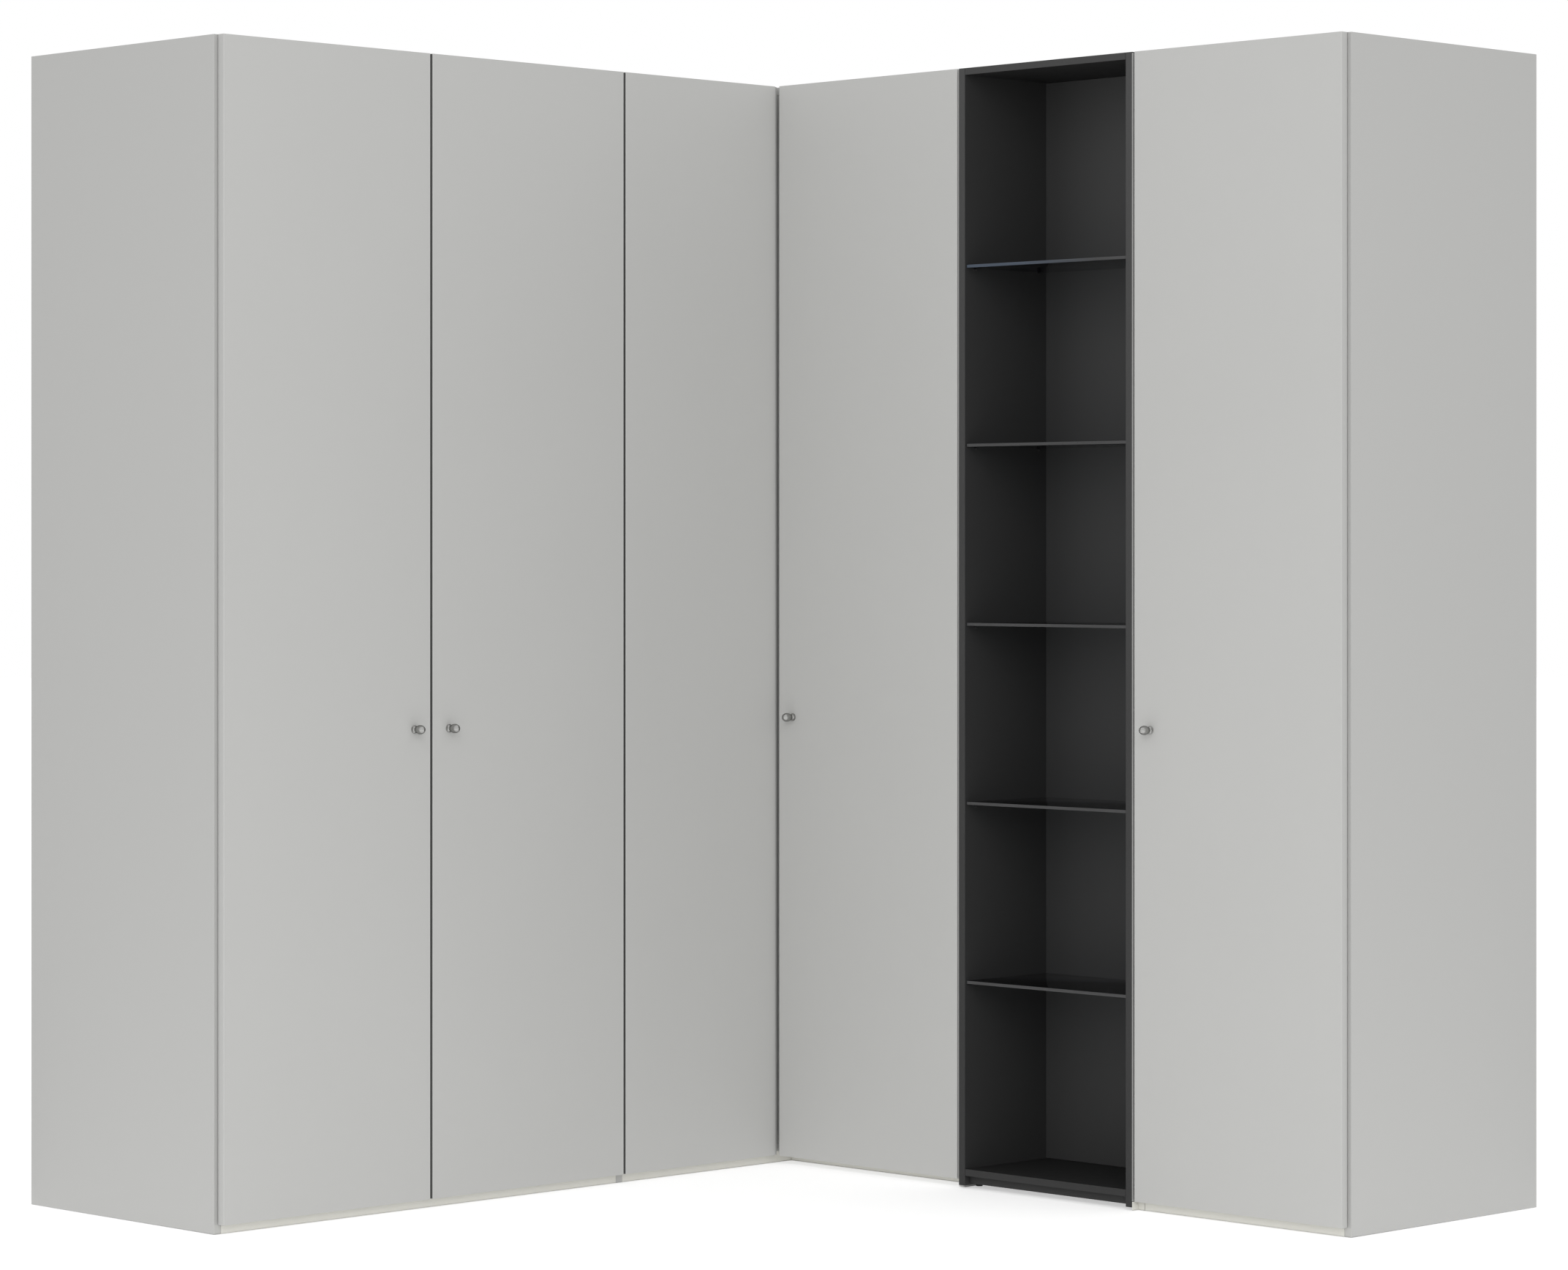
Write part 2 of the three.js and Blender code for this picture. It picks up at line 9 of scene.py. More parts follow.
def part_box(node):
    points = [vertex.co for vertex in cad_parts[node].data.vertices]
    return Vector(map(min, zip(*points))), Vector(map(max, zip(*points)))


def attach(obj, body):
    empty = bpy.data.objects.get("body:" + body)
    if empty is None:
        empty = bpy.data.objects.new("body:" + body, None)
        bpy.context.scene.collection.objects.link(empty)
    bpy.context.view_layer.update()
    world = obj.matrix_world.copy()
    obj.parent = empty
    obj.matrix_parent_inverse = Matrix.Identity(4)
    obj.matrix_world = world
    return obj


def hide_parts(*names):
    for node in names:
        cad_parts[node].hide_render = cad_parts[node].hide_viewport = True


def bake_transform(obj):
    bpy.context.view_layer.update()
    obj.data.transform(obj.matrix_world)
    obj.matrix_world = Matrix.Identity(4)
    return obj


# A corner wardrobe: the CAD boards get their finishes, and the fittings get finer forms
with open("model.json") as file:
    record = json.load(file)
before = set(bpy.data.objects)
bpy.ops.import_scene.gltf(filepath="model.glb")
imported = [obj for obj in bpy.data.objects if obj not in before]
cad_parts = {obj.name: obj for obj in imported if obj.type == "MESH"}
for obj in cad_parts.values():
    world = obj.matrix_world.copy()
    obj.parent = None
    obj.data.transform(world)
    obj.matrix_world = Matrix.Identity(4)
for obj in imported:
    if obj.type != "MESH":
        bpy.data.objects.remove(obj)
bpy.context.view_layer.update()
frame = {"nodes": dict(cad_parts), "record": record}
nodes = frame["nodes"]
record = frame["record"]

MM = 0.001

# Camera, from the vanishing points and edges of the photograph
IMAGE_WIDTH = 2144
IMAGE_HEIGHT = 1736
FOCAL_PX = 6469.2
HORIZON_PX = 745.4
SENSOR_MM = 36.0
CAMERA_PLACE = (6.3067, -6.2604, 1.2402)
CAMERA_TURN = math.radians(45.19)

# The two wings of the wardrobe: x runs along the fronts, y from the carcass front to the wall, in mm
LEFT_WING = Matrix.Translation((-0.455, -0.989, 0)) @ Matrix.Rotation(math.pi / 2, 4, "Z")
RIGHT_WING = Matrix.Translation((-1.010, 0.434, 0))

# Door node: its body, its wing and its hinge side (-1 left edge, 1 right edge)
DOORS = {
    "left_unit_door_1": ("left_door_1", LEFT_WING, -1),
    "left_unit_door_2": ("left_door_2", LEFT_WING, 1),
    "corner_unit_door": ("corner_door", RIGHT_WING, 1),
    "right_unit_door": ("right_door", RIGHT_WING, 1),
}
CARCASS = "carcass"
HINGE_COUNT = 3
JOINT_GAP = 0.3
DOOR_BACK = -2.0
DOOR_FRONT = -18.0

# Sides of round forms, degrees of a rounded rim, and the crease that stays sharp
ROUND_SIDES = 48
SMALL_SIDES = 24
HOLE_SIDES = 16
RIM_STEPS = (0.0, 30.0, 60.0, 90.0)
SHARP_ANGLE = math.radians(38)

# Height of the foot of a form that sinks into the board that carries it
SUNK = -0.2


def make_camera():
    data = bpy.data.cameras.new("camera")
    data.sensor_width = SENSOR_MM
    data.lens = SENSOR_MM * FOCAL_PX / IMAGE_WIDTH
    data.shift_y = (HORIZON_PX - IMAGE_HEIGHT / 2) / IMAGE_WIDTH
    camera = bpy.data.objects.new("camera", data)
    camera.location = CAMERA_PLACE
    camera.rotation_euler = (math.pi / 2, 0, CAMERA_TURN)
    bpy.context.scene.collection.objects.link(camera)
    bpy.context.scene.camera = camera


# Part of a normal along an axis at which a face starts to face that way, and at which it fully does
FACING_START = 0.6
FACING_FULL = 0.8

# Sockets of the mix node for its two colours and its result
MIX_FIRST = 6
MIX_SECOND = 7
MIX_RESULT = 2


class Finish:
    """A node material round one Principled shader, in the object's own coordinates."""

    def __init__(self, name, color, roughness, metallic=0.0):
        self.material = bpy.data.materials.new(name)
        self.material.use_nodes = True
        self.tree = self.material.node_tree
        self.shader = self.tree.nodes["Principled BSDF"]
        self.set("Base Color", (*color, 1.0))
        self.set("Roughness", roughness)
        self.set("Metallic", metallic)
        self.coordinates = self.add("ShaderNodeTexCoord").outputs["Object"]

    def set(self, name, value):
        self.shader.inputs[name].default_value = value

    def add(self, kind, **values):
        node = self.tree.nodes.new(kind)
        for name, value in values.items():
            setattr(node, name, value)
        return node

    def link(self, source, target):
        self.tree.links.new(source, target)

    def noise(self, scale, detail=3.0, stretch=(1, 1, 1)):
        mapping = self.add("ShaderNodeMapping")
        mapping.inputs["Scale"].default_value = stretch
        self.link(self.coordinates, mapping.inputs["Vector"])
        texture = self.add("ShaderNodeTexNoise")
        texture.inputs["Scale"].default_value = scale
        texture.inputs["Detail"].default_value = detail
        self.link(mapping.outputs["Vector"], texture.inputs["Vector"])
        return texture.outputs["Fac"]

    def ramp(self, factor, low, high):
        """From low where the factor is 0 to high where it is 1."""
        node = self.add("ShaderNodeMapRange")
        node.inputs["To Min"].default_value = low
        node.inputs["To Max"].default_value = high
        self.link(factor, node.inputs["Value"])
        return node.outputs["Result"]

    def between(self, value, start, end):
        """0 before start, 1 after end."""
        node = self.add("ShaderNodeMapRange")
        node.inputs["From Min"].default_value = start
        node.inputs["From Max"].default_value = end
        self.link(value, node.inputs["Value"])
        return node.outputs["Result"]

    def axis(self, output, name):
        """One axis of the object's own coordinates or normal."""
        node = self.add("ShaderNodeSeparateXYZ")
        self.link(self.add("ShaderNodeTexCoord").outputs[output], node.inputs["Vector"])
        return node.outputs[name]

    def along(self, axis, start, end):
        """0 before start and 1 after end, in m along one of the object's own axes."""
        return self.between(self.axis("Object", axis), start, end)

    def facing(self, axis, way):
        """1 where the surface faces that way, 1 or -1, along an axis."""
        return self.between(self.axis("Normal", axis), way * FACING_START, way * FACING_FULL)

    def mix(self, factor, color_a, color_b):
        """Mixed colour of two colours, or of one colour and a second one that is mixed itself."""
        node = self.add("ShaderNodeMix", data_type="RGBA")
        self.link(factor, node.inputs["Factor"])
        node.inputs[MIX_FIRST].default_value = (*color_a, 1.0)
        if isinstance(color_b, bpy.types.NodeSocket):
            self.link(color_b, node.inputs[MIX_SECOND])
        else:
            node.inputs[MIX_SECOND].default_value = (*color_b, 1.0)
        return node.outputs[MIX_RESULT]

    def vary_color(self, factor, color_a, color_b):
        self.link(self.mix(factor, color_a, color_b), self.shader.inputs["Base Color"])

    def vary_roughness(self, factor, low, high):
        self.link(self.ramp(factor, low, high), self.shader.inputs["Roughness"])

    def bump(self, factor, distance, strength):
        node = self.add("ShaderNodeBump")
        node.inputs["Distance"].default_value = distance
        node.inputs["Strength"].default_value = strength
        self.link(factor, node.inputs["Height"])
        self.link(node.outputs["Normal"], self.shader.inputs["Normal"])


def linear(*channels):
    """Scene colour of an sRGB colour given as 0 to 255."""
    out = []
    for value in channels:
        c = value / 255
        out.append(c / 12.92 if c <= 0.04045 else ((c + 0.055) / 1.055) ** 2.4)
    return tuple(out)


def grey(value):
    return linear(value, value, value)


def shade(color, factor):
    return tuple(min(1.0, channel * factor) for channel in color)


# Coated boards: how rough they are, how fine their pearl is, and how much they mirror
BOARD_ROUGHNESS = 0.6
BOARD_PEARL = 1100.0
LACQUER_ROUGHNESS = 0.55
LACQUER_PEARL = 1400.0
LIGHT_GLOSS = 0.35
DARK_GLOSS = 0.2

# Where a colour starts to change and where it is all changed, in m: heights, and places along x. All
# place painted light and shade: the foot below the outer sides' shaded front edges, the dark unit's
# front edges lighter towards the top, its back lighter towards the right and top, and the panes' lit
# left ends.
FOOT_HEIGHTS = (0.016, 0.018)
BAND_HEIGHTS = (0.0, 2.1)
BACK_HEIGHTS = (0.1, 1.9)
BACK_PLACES = (0.11, 0.42)
PANE_HEIGHTS = (1.5, 1.7)
PANE_PLACES = (0.42, 0.2)


def coat(finish, roughness, pearl, gloss):
    """Skin of a coated board: slow patches of roughness and a very fine pearl."""
    patches = finish.noise(scale=60.0)
    finish.vary_roughness(patches, low=roughness - 0.04, high=roughness + 0.04)
    finish.bump(finish.noise(scale=pearl, detail=2.0), distance=0.0001, strength=0.15)
    finish.set("Specular IOR Level", gloss)
    return finish.material


def coated_board(name, color, roughness=BOARD_ROUGHNESS, pearl=BOARD_PEARL):
    """Light lacquered or coated board with a faint cloud in its colour."""
    finish = Finish(name, color, roughness)
    cloud = finish.noise(scale=3.0, detail=2.0)
    finish.vary_color(cloud, shade(color, 0.985), shade(color, 1.015))
    return coat(finish, roughness, pearl, LIGHT_GLOSS)


def edge_shaded_board(name, face, foot, edge, axis, way):
    """Light board whose front edge, facing that way along an axis, is darker with painted shade from the
    doors beside it, and nearly as light as the face at its foot below the doors.
    """
    finish = Finish(name, face, BOARD_ROUGHNESS)
    front = finish.facing(axis, way)
    finish.vary_color(front, face, finish.mix(finish.along("Z", *FOOT_HEIGHTS), foot, edge))
    return coat(finish, BOARD_ROUGHNESS, BOARD_PEARL, LIGHT_GLOSS)


def board_with_painted_light(name, face, band_low, band_high):
    """Dark board whose front edge grows lighter towards the top, a painted light; its other faces keep
    the face colour.
    """
    finish = Finish(name, face, BOARD_ROUGHNESS)
    front = finish.facing("Y", -1)
    band = finish.mix(finish.along("Z", *BAND_HEIGHTS), band_low, band_high)
    finish.vary_color(front, face, band)
    return coat(finish, BOARD_ROUGHNESS, BOARD_PEARL, DARK_GLOSS)


def shaded_back(name, left, right_low, right_high):
    """Back panel lighter towards the right side and the top, painted light."""
    finish = Finish(name, left, BOARD_ROUGHNESS)
    right = finish.mix(finish.along("Z", *BACK_HEIGHTS), right_low, right_high)
    finish.vary_color(finish.along("X", *BACK_PLACES), left, right)
    return coat(finish, BOARD_ROUGHNESS, BOARD_PEARL, DARK_GLOSS)


def ground_edge(name, right, left_low, left_high):
    """Ground edge of a smoked glass pane, lighter towards its left end with painted light, and bluish
    there on the top pane with a painted reflection.
    """
    finish = Finish(name, right, roughness=0.3)
    left = finish.mix(finish.along("Z", *PANE_HEIGHTS), left_low, left_high)
    finish.vary_color(finish.along("X", *PANE_PLACES), right, left)
    finish.vary_roughness(finish.noise(scale=400.0), low=0.22, high=0.4)
    return finish.material


def smoked_glass(name, color):
    finish = Finish(name, color, roughness=0.04)
    finish.set("Transmission Weight", 1.0)
    finish.set("IOR", 1.55)
    finish.vary_roughness(finish.noise(scale=8.0), low=0.02, high=0.07)
    return finish.material


def satin_metal(name, color, roughness, stretch, edge_tint):
    """Satin metal; a small stretch along an axis draws its fine specks out into streaks."""
    finish = Finish(name, color, roughness, metallic=1.0)
    streaks = finish.noise(scale=900.0, detail=2.0, stretch=stretch)
    finish.vary_color(streaks, shade(color, 0.94), shade(color, 1.05))
    finish.vary_roughness(streaks, low=roughness - 0.05, high=roughness + 0.08)
    finish.bump(streaks, distance=0.00003, strength=0.2)
    finish.set("Specular Tint", (edge_tint, edge_tint, edge_tint, 1.0))
    return finish.material


def moulded(name, color):
    """Moulded plastic or rubber with a fine grain."""
    finish = Finish(name, color, roughness=0.55)
    finish.vary_color(finish.noise(scale=40.0), shade(color, 0.9), shade(color, 1.1))
    finish.bump(finish.noise(scale=1500.0), distance=0.00005, strength=0.3)
    return finish.material


# Face, foot of the front edge, and front edge of the outer sides: the front edge is darker with painted
# shade from the doors, its foot below them nearly as light as the face
SIDE_SHADES = (linear(191, 191, 189), linear(190, 190, 187), linear(180, 180, 178))

# Material: its recipe and the recipe's values
RECIPES = {
    "front_lacquer": (coated_board, linear(193, 193, 191), LACQUER_ROUGHNESS, LACQUER_PEARL),
    "carcass_board": (coated_board, linear(191, 191, 189)),
    "left_side_board": (edge_shaded_board, *SIDE_SHADES, "X", 1),
    "right_side_board": (edge_shaded_board, *SIDE_SHADES, "Y", -1),
    # Boards of the dark unit: front edges lighter towards the top, painted light
    "graphite_board": (board_with_painted_light, grey(56), grey(56), grey(73)),
    # Top and bottom of the dark unit: the same board with darker faces, painted shade, and front edges
    # lighter towards the top, painted light
    "graphite_shelf": (board_with_painted_light, grey(38), grey(55), grey(67)),
    # Back of the dark unit: lighter towards the right side and the top, painted light
    "graphite_back": (shaded_back, grey(64), grey(68), grey(90)),
    # Plinths: the carcass board warmer, and lighter with painted light against the shade under the doors
    "plinth_board": (coated_board, linear(228, 227, 220)),
    # Grey of the strips beside the shelf unit and at the inner corner, darker than the carcass board:
    # painted shade in the gaps
    "spacer_strip": (coated_board, linear(170, 170, 168)),
    # Dark grey; on the strips in the door gaps it is painted shade
    "grey_seal": (moulded, linear(54, 54, 53)),
    "smoked_glass": (smoked_glass, linear(72, 80, 98)),
    # Ground edges of the panes: lighter at their left end, painted light, and bluish there on the top
    # pane, a painted reflection
    "ground_edge": (ground_edge, linear(61, 61, 62), linear(69, 69, 70), linear(68, 78, 92)),
    "white_plastic": (moulded, linear(205, 205, 203)),
    "shadow_hole": (moulded, linear(70, 70, 69)),
    "knob_metal": (satin_metal, linear(171, 171, 169), 0.24, (1, 1, 1), 0.2),
    "steel": (satin_metal, linear(182, 184, 186), 0.28, (1, 1, 0.05), 0.9),
    "black_plastic": (moulded, grey(38)),
}
MATERIALS = {name: recipe(name, *values) for name, (recipe, *values) in RECIPES.items()}


# Mesh kit. Every form is a row of closed loops, in mm, joined and capped at both ends.

# Least spread of the two normals at a corner, so that a sharp corner isn't inset too far
LEAST_SPREAD = 0.2


def loft(form, loops, place):
    rings = [[form.verts.new(place @ Vector(point)) for point in loop] for loop in loops]
    for first, second in zip(rings, rings[1:]):
        for index in range(len(first)):
            after = (index + 1) % len(first)
            form.faces.new((first[index], first[after], second[after], second[index]))
    form.faces.new(rings[0][::-1])
    form.faces.new(rings[-1])


def circle(radius, height, sides=SMALL_SIDES):
    angles = [2 * math.pi * index / sides for index in range(sides)]
    return [(radius * math.cos(a), radius * math.sin(a), height) for a in angles]


def turned(form, profile, place, sides=SMALL_SIDES):
    """Profile is (radius, height) from one end to the other, round the local z axis."""
    loft(form, [circle(radius, height, sides) for radius, height in profile], place)


def inset(points, distance):
    """Moves a closed outline inwards."""
    count = len(points)
    area = sum(points[i - 1][0] * points[i][1] - points[i][0] * points[i - 1][1] for i in range(count))
    turn = 1 if area > 0 else -1
    moved = []
    for index in range(count):
        here = Vector(points[index])
        before = (here - Vector(points[index - 1])).normalized()
        after = (Vector(points[(index + 1) % count]) - here).normalized()
        normals = [Vector((-edge.y, edge.x)) * turn for edge in (before, after)]
        spread = 1 + normals[0].dot(normals[1])
        moved.append(here + (normals[0] + normals[1]) * (distance / max(spread, LEAST_SPREAD)))
    return moved


def slab(form, points, low, high, rim, place):
    """Plate from an outline, between two heights, with both rims rounded."""
    loops = []
    for end, way, turns in ((low, 1, RIM_STEPS), (high, -1, RIM_STEPS[::-1])):
        for turn in turns:
            angle = math.radians(turn)
            ring = inset(points, rim * (1 - math.sin(angle)))
            height = end + way * rim * (1 - math.cos(angle))
            loops.append([(*p, height) for p in ring])
    loft(form, loops, place)


def stadium(u, v, half_length, radius, steps=10):
    """Outline with two round ends, long along v."""
    points = []
    for centre, start in ((half_length - radius, 0), (radius - half_length, math.pi)):
        for index in range(steps + 1):
            angle = start + math.pi * index / steps
            points.append((u + radius * math.cos(angle), v + centre + radius * math.sin(angle)))
    return points


def rounded_box(u0, v0, u1, v1, radius, steps=5):
    corners = [(u1 - radius, v0 + radius), (u1 - radius, v1 - radius), (u0 + radius, v1 - radius)]
    corners.append((u0 + radius, v0 + radius))
    points = []
    for index, (u, v) in enumerate(corners):
        for step in range(steps + 1):
            angle = math.pi / 2 * (index - 1 + step / steps)
            points.append((u + radius * math.cos(angle), v + radius * math.sin(angle)))
    return points


def bend(start, control, end, steps=8):
    """Points after the start on a curve that leans to its control point."""
    points = []
    for index in range(1, steps + 1):
        t = index / steps
        weights = ((1 - t) ** 2, 2 * t * (1 - t), t ** 2)
        mixed = [sum(w * p[axis] for w, p in zip(weights, (start, control, end))) for axis in (0, 1)]
        points.append(tuple(mixed))
    return points


def cross_loop(arm, reach, height):
    """A cross with 24 points that matches a circle of 24 sides."""
    middle = (arm + reach) / 2
    quarter = [(reach, 0), (reach, arm), (middle, arm), (arm, arm), (arm, middle), (arm, reach)]
    points = []
    for _ in range(4):
        points += [(u, v, height) for u, v in quarter]
        quarter = [(-v, u) for u, v in quarter]
    return points


# Screw head, in shares of its radius and rise: the dome, then arm, reach and height of the cross
SCREW_FOOT = -0.4
SCREW_DOME = ((1.0, 0.45), (0.93, 0.75), (0.78, 0.93), (0.62, 1.0))
SCREW_CROSS = ((0.13, 0.5, 1.0), (0.1, 0.4, 0.25))


def screw(form, radius, rise, place):
    """Head of a screw with a cross recess, its axis along the local z axis."""
    loops = [circle(radius, SCREW_FOOT)]
    loops += [circle(radius * wide, rise * high) for wide, high in SCREW_DOME]
    loops += [cross_loop(radius * arm, radius * reach, rise * high) for arm, reach, high in SCREW_CROSS]
    loft(form, loops, place)


# Turns of the local z axis of a form to lie along an axis of a wing
ALONG_X = Matrix(((0, 0, 1, 0), (1, 0, 0, 0), (0, 1, 0, 0), (0, 0, 0, 1)))
ALONG_Y = Matrix.Rotation(-math.pi / 2, 4, "X")
AGAINST_Y = Matrix.Rotation(math.pi / 2, 4, "X")


def at(x, y, z):
    return Matrix.Translation((x, y, z))


def wing_frame(wing, x, y, z, direction=1):
    """Frame in mm at a place in a wing; a direction of -1 mirrors x."""
    return wing @ Matrix.Scale(MM, 4) @ at(x, y, z) @ Matrix.Diagonal((direction, 1, 1, 1))


def wing_box(node, wing):
    """Lowest and highest corner of a node in a wing's own frame, in mm."""
    ends = [(wing.inverted() @ corner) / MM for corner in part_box(node)]
    return [Vector([pick(pair) for pair in zip(*ends)]) for pick in (min, max)]


def edge_x(node, wing, way):
    """x of a node's left edge, with way -1, or of its right edge, with way 1, in a wing."""
    low, high = wing_box(node, wing)
    return high.x if way > 0 else low.x


def add_piece(name, form, slot, body, finish=None):
    """Piece with a smooth skin and sharp creases, in its slot's material or in another finish."""
    bmesh.ops.recalc_face_normals(form, faces=form.faces)
    for face in form.faces:
        face.smooth = True
    for edge in form.edges:
        edge.smooth = edge.calc_face_angle(0) < SHARP_ANGLE
    mesh = bpy.data.meshes.new(name)
    form.to_mesh(mesh)
    form.free()
    mesh.materials.append(MATERIALS[finish or slot])
    piece = bpy.data.objects.new(name, mesh)
    bpy.context.scene.collection.objects.link(piece)
    if body:
        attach(piece, body)
    return piece


# Hinge cups, bored into the backs of the doors
CUP_INSET = 22.5
CUP_RADIUS = 15.45
CUP_BOTTOM = -12.95
CUP_ROUND = 1.2
FLANGE_SIDES = 96
FLANGE_RADIUS = 19.6
FLANGE_TOP = -0.45
FLANGE_ROUND = 0.4
CUP_INSIDE = ((15.5, FLANGE_TOP), (14.9, -1.1), (14.6, -11.6), (13.7, -12.4))
EAR_RADIUS = 6.1
EAR_REACH = 28.6
EAR_SCREW = 22.5
CUP_SCREW_HEAD = (3.3, 0.6)
TINY = 1e-6

# Bearing in the cup: its block in side view, with the corner radius, and the pivot pin
BEARING = rounded_box(-7, -12.2, 8, -5.0, 2.0)
BEARING_HALF_WIDTH = 6
BEARING_RIM = 0.6
PIVOT_PLACE = (5, -4.2, 0)
PIVOT_PROFILE = ((1.4, -8.5), (1.6, -8.2), (1.6, 8.2), (1.4, 8.5))


def flange_outline():
    """Round flange with a screw ear above and below, as one outline."""
    points = []
    centre = EAR_REACH - EAR_RADIUS
    for index in range(FLANGE_SIDES):
        angle = 2 * math.pi * index / FLANGE_SIDES
        across, up = abs(math.cos(angle)), abs(math.sin(angle))
        reach = EAR_RADIUS / across if across > TINY else math.inf
        if reach * up > centre:
            reach = centre * up + math.sqrt(EAR_RADIUS ** 2 - (centre * across) ** 2)
        reach = max(reach, FLANGE_RADIUS)
        points.append((reach * math.cos(angle), reach * math.sin(angle)))
    return points


def add_cup(form, place):
    """Pressed steel cup with its flange, two screws and the bearing inside."""
    rim = flange_outline()
    loops = [circle(CUP_RADIUS - CUP_ROUND, CUP_BOTTOM, FLANGE_SIDES)]
    for height in (CUP_BOTTOM + CUP_ROUND, DOOR_BACK):
        loops.append(circle(CUP_RADIUS, height, FLANGE_SIDES))
    loops += [[(*p, height) for p in rim] for height in (DOOR_BACK, FLANGE_TOP - FLANGE_ROUND)]
    loops.append([(*p, FLANGE_TOP) for p in inset(rim, FLANGE_ROUND)])
    loops += [circle(radius, height, FLANGE_SIDES) for radius, height in CUP_INSIDE]
    loft(form, loops, place @ ALONG_Y)
    for way in (-1, 1):
        screw(form, *CUP_SCREW_HEAD, place @ at(0, FLANGE_TOP, way * EAR_SCREW) @ ALONG_Y)
    slab(form, BEARING, -BEARING_HALF_WIDTH, BEARING_HALF_WIDTH, BEARING_RIM, place)
    turned(form, PIVOT_PROFILE, place @ at(*PIVOT_PLACE))


# Mounting plate and covers of the arm: outline, lower face, upper face and rim
PLATE_DEPTH = 37.0
PLATE_TOP = 2.2
PLATE_LAYERS = (
    (stadium(PLATE_DEPTH, 0, 26, 5.5), 0.3, PLATE_TOP, 0.4),
    (rounded_box(20, -9.5, 60, 9.5, 3), 0.3, 2.6, 0.5),
)
ARM_COVERS = (
    (rounded_box(28, -4.6, 47, 4.6, 4.4), 11.4, 12.6, 0.3),
    (rounded_box(50.5, -5.2, 61.6, 5.2, 2), 11.4, 12.8, 0.4),
)

# Arm in side view: x from the carcass side, y from the carcass front
ARM_REAR = ((2.2, 62), (10, 62), (11.6, 61.4), (12.2, 59.8))
ARM_UPPER_BEND = ((12.2, 26), (12.2, 11), (17, 5.5))
ARM_TIP = ((17, -0.2), (7, -0.2))
ARM_LOWER_BEND = ((7, -0.2), (7, 11), (2.2, 18.5))
ARM_HALF_WIDTH = 7.5
ARM_RIM = 0.9

# Screws of the plate and the arm, a head being radius and rise, and the rivets of the links
PLATE_SCREW_HEAD = (3.8, 1.8)
PLATE_SCREW = 20.5
ARM_SCREWS = (((3.4, 1.4), (12.6, PLATE_DEPTH, 0)), ((3.2, 1.0), (12.8, 56, 0)))
RIVETS = ((9.3, 1.9, 0), (14.4, 3.0, 0))
RIVET_PROFILE = ((1.1, 8.0), (1.5, 7.7), (1.5, 6.5))


def arm_outline():
    upper = [ARM_UPPER_BEND[0], *bend(*ARM_UPPER_BEND)]
    return [*ARM_REAR, *upper, *ARM_TIP, *bend(*ARM_LOWER_BEND)]


def add_arm(form, place):
    """Hinge arm on a winged mounting plate, with its screws and rivets."""
    for layer in PLATE_LAYERS:
        slab(form, *layer, place @ ALONG_X)
    slab(form, arm_outline(), -ARM_HALF_WIDTH, ARM_HALF_WIDTH, ARM_RIM, place)
    for cover in ARM_COVERS:
        slab(form, *cover, place @ ALONG_X)
    for way in (-1, 1):
        spot = at(PLATE_TOP, PLATE_DEPTH, way * PLATE_SCREW)
        screw(form, *PLATE_SCREW_HEAD, place @ spot @ ALONG_X)
        for rivet in RIVETS:
            turned(form, RIVET_PROFILE, place @ at(*rivet) @ Matrix.Diagonal((1, 1, way, 1)))
    for head, spot in ARM_SCREWS:
        screw(form, *head, place @ at(*spot) @ ALONG_X)


# Links from arm to cup: x at the arm, shift from the cup's middle at the cup, and half width
LINKS = ((14.2, 3.0, 4.6), (9.6, -3.5, 3.2))
LINK_START = 5.0
LINK_KNEE = -3.0
LINK_END = -9.5
LINK_STEPS = 14
LINK_THICKNESS = 1.8
LINK_RIM = 0.5


def link_outline(path, thickness):
    """Outline of a strip that follows a path in the x, y plane."""
    left = []
    right = []
    for index, point in enumerate(path):
        before = Vector(path[max(index - 1, 0)])
        after = Vector(path[min(index + 1, len(path) - 1)])
        run = (after - before).normalized()
        side = Vector((-run.y, run.x)) * thickness / 2
        left.append(Vector(point) + side)
        right.append(Vector(point) - side)
    return left + right[::-1]


def add_links(form, cup_x, place):
    """The two links between arm and cup."""
    for x, shift, width in LINKS:
        start, knee, end = (x, LINK_START), (x, LINK_KNEE), (cup_x + shift, LINK_END)
        path = [start] + bend(start, knee, end, LINK_STEPS)
        slab(form, link_outline(path, LINK_THICKNESS), -width, width, LINK_RIM, place)


def hinge_places(door):
    """x of the carcass side that carries a door's hinges, and the height of each hinge."""
    _, wing, side = DOORS[door]
    boxes = [wing_box(f"{door}_hinge_{index + 1}", wing) for index in range(HINGE_COUNT)]
    face = edge_x(f"{door}_hinge_{HINGE_COUNT}", wing, side) + side * JOINT_GAP
    return face, [(low.z + high.z) / 2 for low, high in boxes]


def make_hinges():
    for door, (body, wing, side) in DOORS.items():
        face, heights = hinge_places(door)
        direction = -side
        cup_x = edge_x(door, wing, side) + direction * CUP_INSET
        cups = bmesh.new()
        links = bmesh.new()
        for index, height in enumerate(heights):
            add_cup(cups, wing_frame(wing, cup_x, 0, height, direction))
            arm = bmesh.new()
            place = wing_frame(wing, face, 0, height, direction)
            add_arm(arm, place)
            piece = add_piece(f"{door}_arm_{index + 1}", arm, "steel", CARCASS)
            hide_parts(f"{door}_hinge_{index + 1}")
            add_links(links, (cup_x - face) * direction, place)
        add_piece(f"{door}_cups", cups, "steel", body)
        strip = add_piece(f"{door}_links", links, "steel", None)
        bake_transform(strip)


